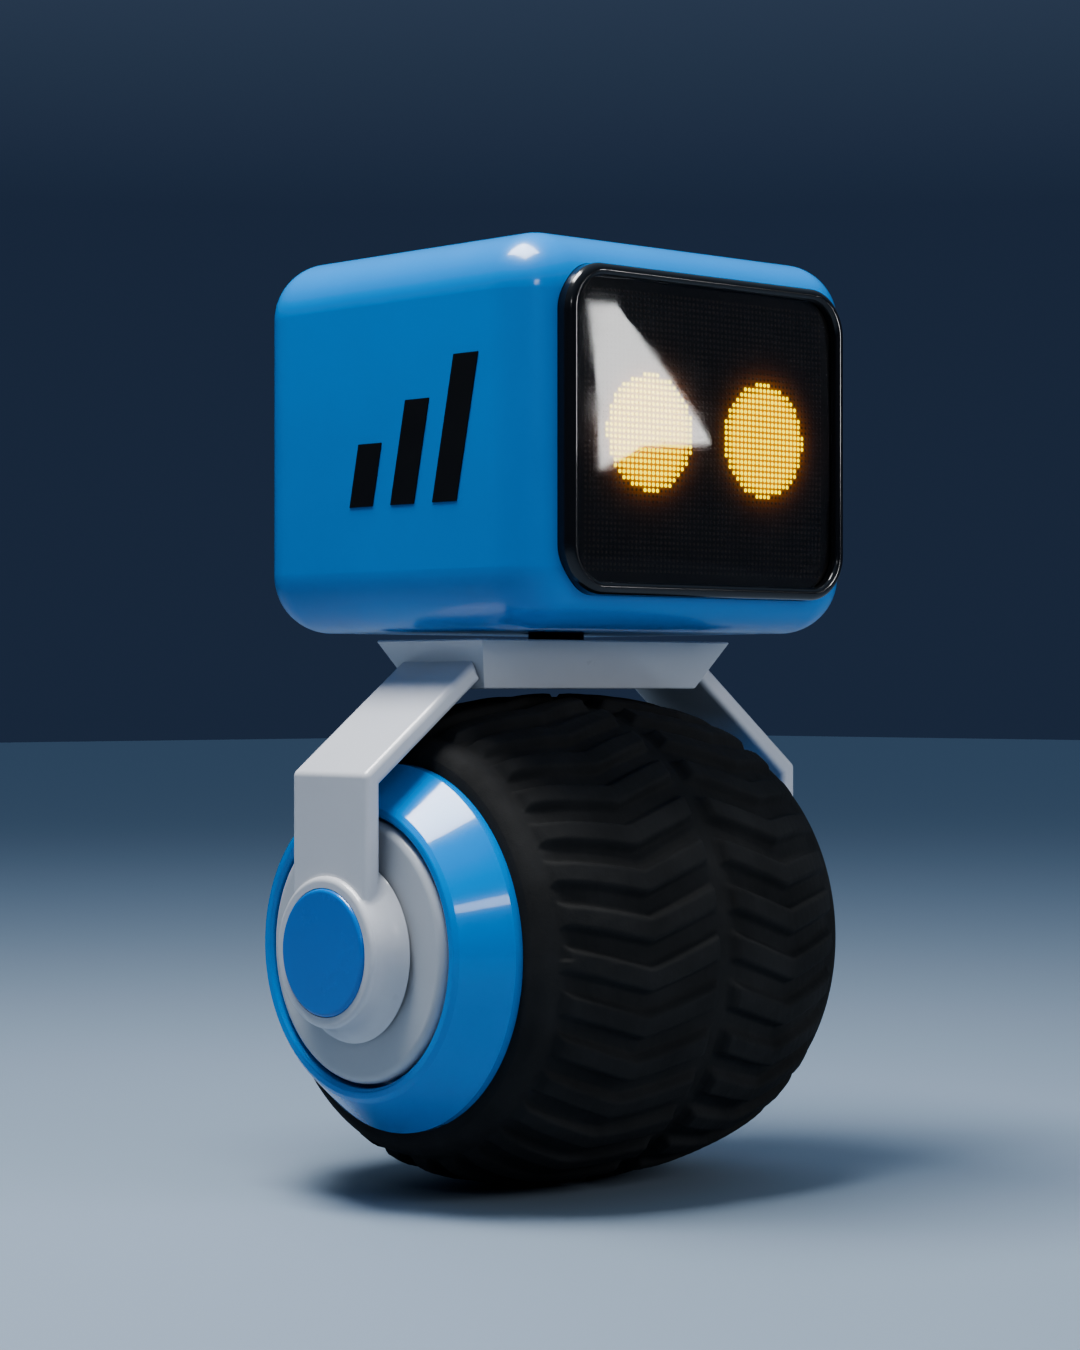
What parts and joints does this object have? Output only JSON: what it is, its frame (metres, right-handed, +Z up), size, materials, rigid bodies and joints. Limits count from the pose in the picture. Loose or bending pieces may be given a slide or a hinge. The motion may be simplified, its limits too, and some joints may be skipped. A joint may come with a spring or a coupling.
{
  "type": "one-wheeled educational coding robot",
  "caption": "Desk robot for learning to code: a cube head with a round-eyed pixel face pans on a fork that straddles one wide, driven barrel wheel.",
  "frame": {"origin": "on the ground under the middle of the wheel, which is the bottom centre of the whole robot's box", "axes": "+Z up, the screen faces -Y, and the wheel's axle lies along X with the robot's left side, as the reader faces its screen, at -X"},
  "size_m": [0.1584, 0.128, 0.2407],
  "materials": {
    "head_blue": "gloss",
    "rim_blue": "gloss",
    "cap_blue": "satin",
    "bezel_black": "gloss",
    "screen_glass": "polished",
    "panel_black": "matte",
    "pixel_yellow": "lit",
    "mark_black": "print",
    "fork_grey": "semi-gloss",
    "disc_grey": "semi-gloss",
    "inner_plastic": "matte",
    "tyre_black": "matte",
    "foam_grey": "open cell",
    "button_grey": "satin",
    "steel": "satin",
    "motor_steel": "satin",
    "axle_aluminium": "turned",
    "gear_white": "moulded",
    "gear_brass": "machined",
    "cell_wrap": "wrapped",
    "board_green": "lacquered",
    "ribbon_grey": "satin",
    "cable_black": "matte",
    "speaker_black": "matte",
    "servo_black": "satin"
  },
  "bodies": {
    "fork": {"neck_block": "fork_grey", "neck_lid": "fork_grey", "neck_lid_screws": "steel", "pan_spindle": "axle_aluminium", "pan_spacer": "inner_plastic", "pan_bearing_inner_ring": "steel", "pan_gear": "gear_white", "pan_clip": "steel", "slip_ring": "servo_black", "fork_arm_left": "fork_grey", "fork_arm_right": "fork_grey", "arm_screws": "steel", "fork_cable": "cable_black", "axle": "axle_aluminium", "axle_nuts": "steel", "axle_cap_left": "cap_blue", "axle_cap_right": "cap_blue", "wheel_bearing_inner_rings": "steel", "drive_carrier": "inner_plastic", "carrier_end_plate": "inner_plastic", "carrier_screws": "steel", "carrier_pin": "steel", "drive_motor": "motor_steel", "battery_cells": "cell_wrap", "balance_board": "board_green", "board_standoffs": "steel"},
    "wheel": {"tyre": "tyre_black", "tyre_foam": "foam_grey", "rim_drum": "inner_plastic", "rim_left": "rim_blue", "rim_right": "rim_blue", "rim_screws": "steel", "hub_disc_left": "disc_grey", "hub_disc_right": "disc_grey", "wheel_bearing_outer_rings": "steel", "wheel_bearing_balls": "steel", "ring_gear": "gear_white"},
    "drive_pinion": {"drive_pinion": "gear_brass"},
    "head": {"head_shell": "head_blue", "head_base": "head_blue", "head_screws": "steel", "pan_bearing_outer_ring": "steel", "pan_bearing_balls": "steel", "display_bezel": "bezel_black", "bezel_screws": "steel", "display_glass": "screen_glass", "led_panel": "panel_black", "eye_pixels": "pixel_yellow", "panel_ribbon": "ribbon_grey", "main_board": "board_green", "board_screws": "steel", "usb_socket": "steel", "speaker": "speaker_black", "pan_servo": "servo_black", "servo_mount": "inner_plastic", "servo_screws": "steel", "side_marks": "mark_black"},
    "pan_pinion": {"pan_pinion": "gear_white"},
    "power_button": {"power_button": "button_grey", "button_spring": "steel"}
  },
  "joints": [
    {"name": "wheel_spin", "type": "hinge", "parent": "fork", "child": "wheel", "pos_m": [0, 0, 0.064], "axis": [1, 0, 0], "continuous": true},
    {"name": "drive_pinion_spin", "type": "hinge", "parent": "fork", "child": "drive_pinion", "pos_m": [0.0335, 0, 0.092], "axis": [1, 0, 0], "continuous": true},
    {"name": "head_pan", "type": "hinge", "parent": "fork", "child": "head", "pos_m": [0, 0, 0.1436], "axis": [0, 0, 1], "range_deg": [-90, 90]},
    {"name": "pan_pinion_spin", "type": "hinge", "parent": "head", "child": "pan_pinion", "pos_m": [0, 0.024, 0.154], "axis": [0, 0, 1], "range_deg": [-180, 180]},
    {"name": "power_button_press", "type": "slide", "parent": "head", "child": "power_button", "axis": [0, -1, 0], "range_m": [0, 0.001], "stiffness_N_per_m": 500, "springref_m": -0.001, "deforming": ["button_spring"]}
  ],
  "couplings": [
    {"joint": "drive_pinion_spin", "follows": "wheel_spin", "ratio": 4.5},
    {"joint": "pan_pinion_spin", "follows": "head_pan", "ratio": 2}
  ]
}
